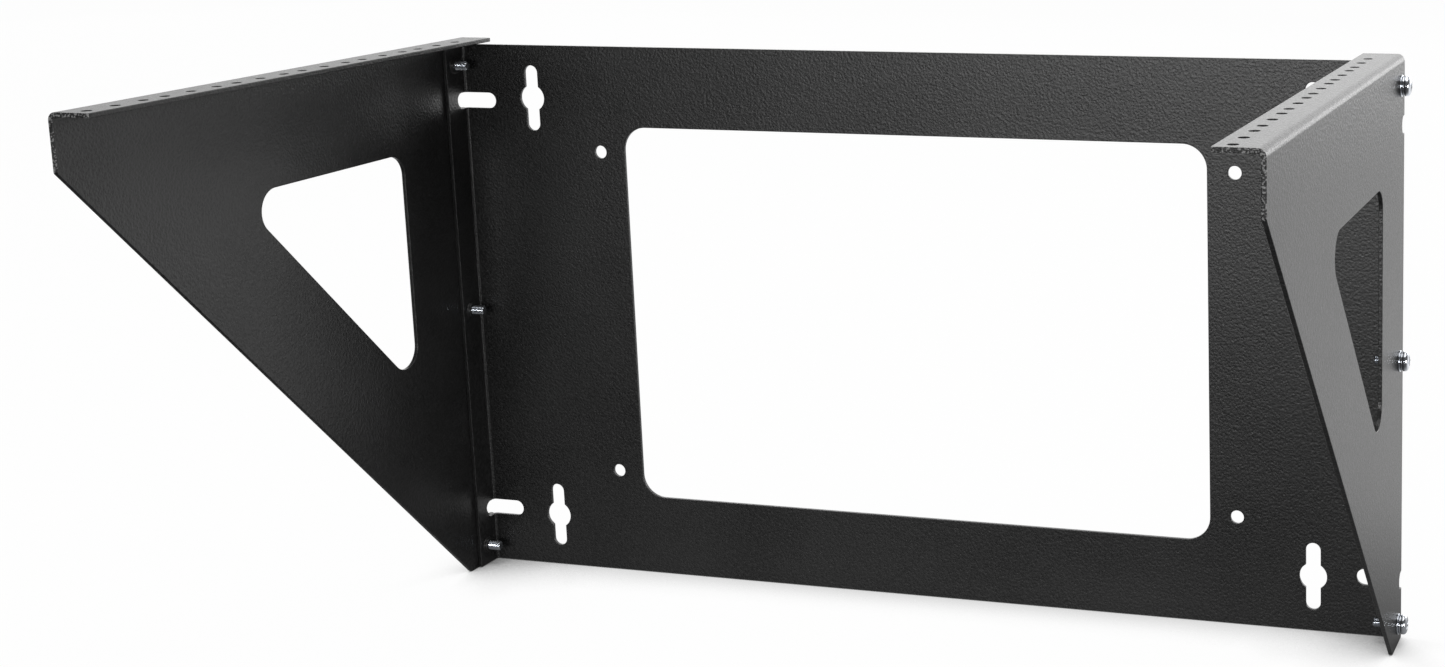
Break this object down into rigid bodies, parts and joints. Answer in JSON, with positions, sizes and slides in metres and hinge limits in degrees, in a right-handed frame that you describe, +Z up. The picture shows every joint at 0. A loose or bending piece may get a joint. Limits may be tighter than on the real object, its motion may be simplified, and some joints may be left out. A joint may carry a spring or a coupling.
{
  "type": "wall mount open frame rack",
  "caption": "Open wall rack: folded panel with keyholes and a cable opening, and triangular side brackets whose top rails take 19 inch equipment.",
  "frame": {"origin": "middle of the wall panel's back face, on the wall plane", "axes": "+Z up, +Y into the wall, +X to the right for someone facing the wall"},
  "size_m": [0.5008, 0.2826, 0.2798],
  "materials": {
    "panel_paint": "black textured powder coat, satin",
    "bracket_paint": "black textured powder coat, satin",
    "zinc": "bright zinc plating"
  },
  "bodies": {
    "root": {"back_panel": "panel_paint", "left_bracket": "bracket_paint", "right_bracket": "bracket_paint", "side_screws": "zinc", "spring_washers": "zinc", "flat_washers": "zinc"}
  },
  "joints": []
}
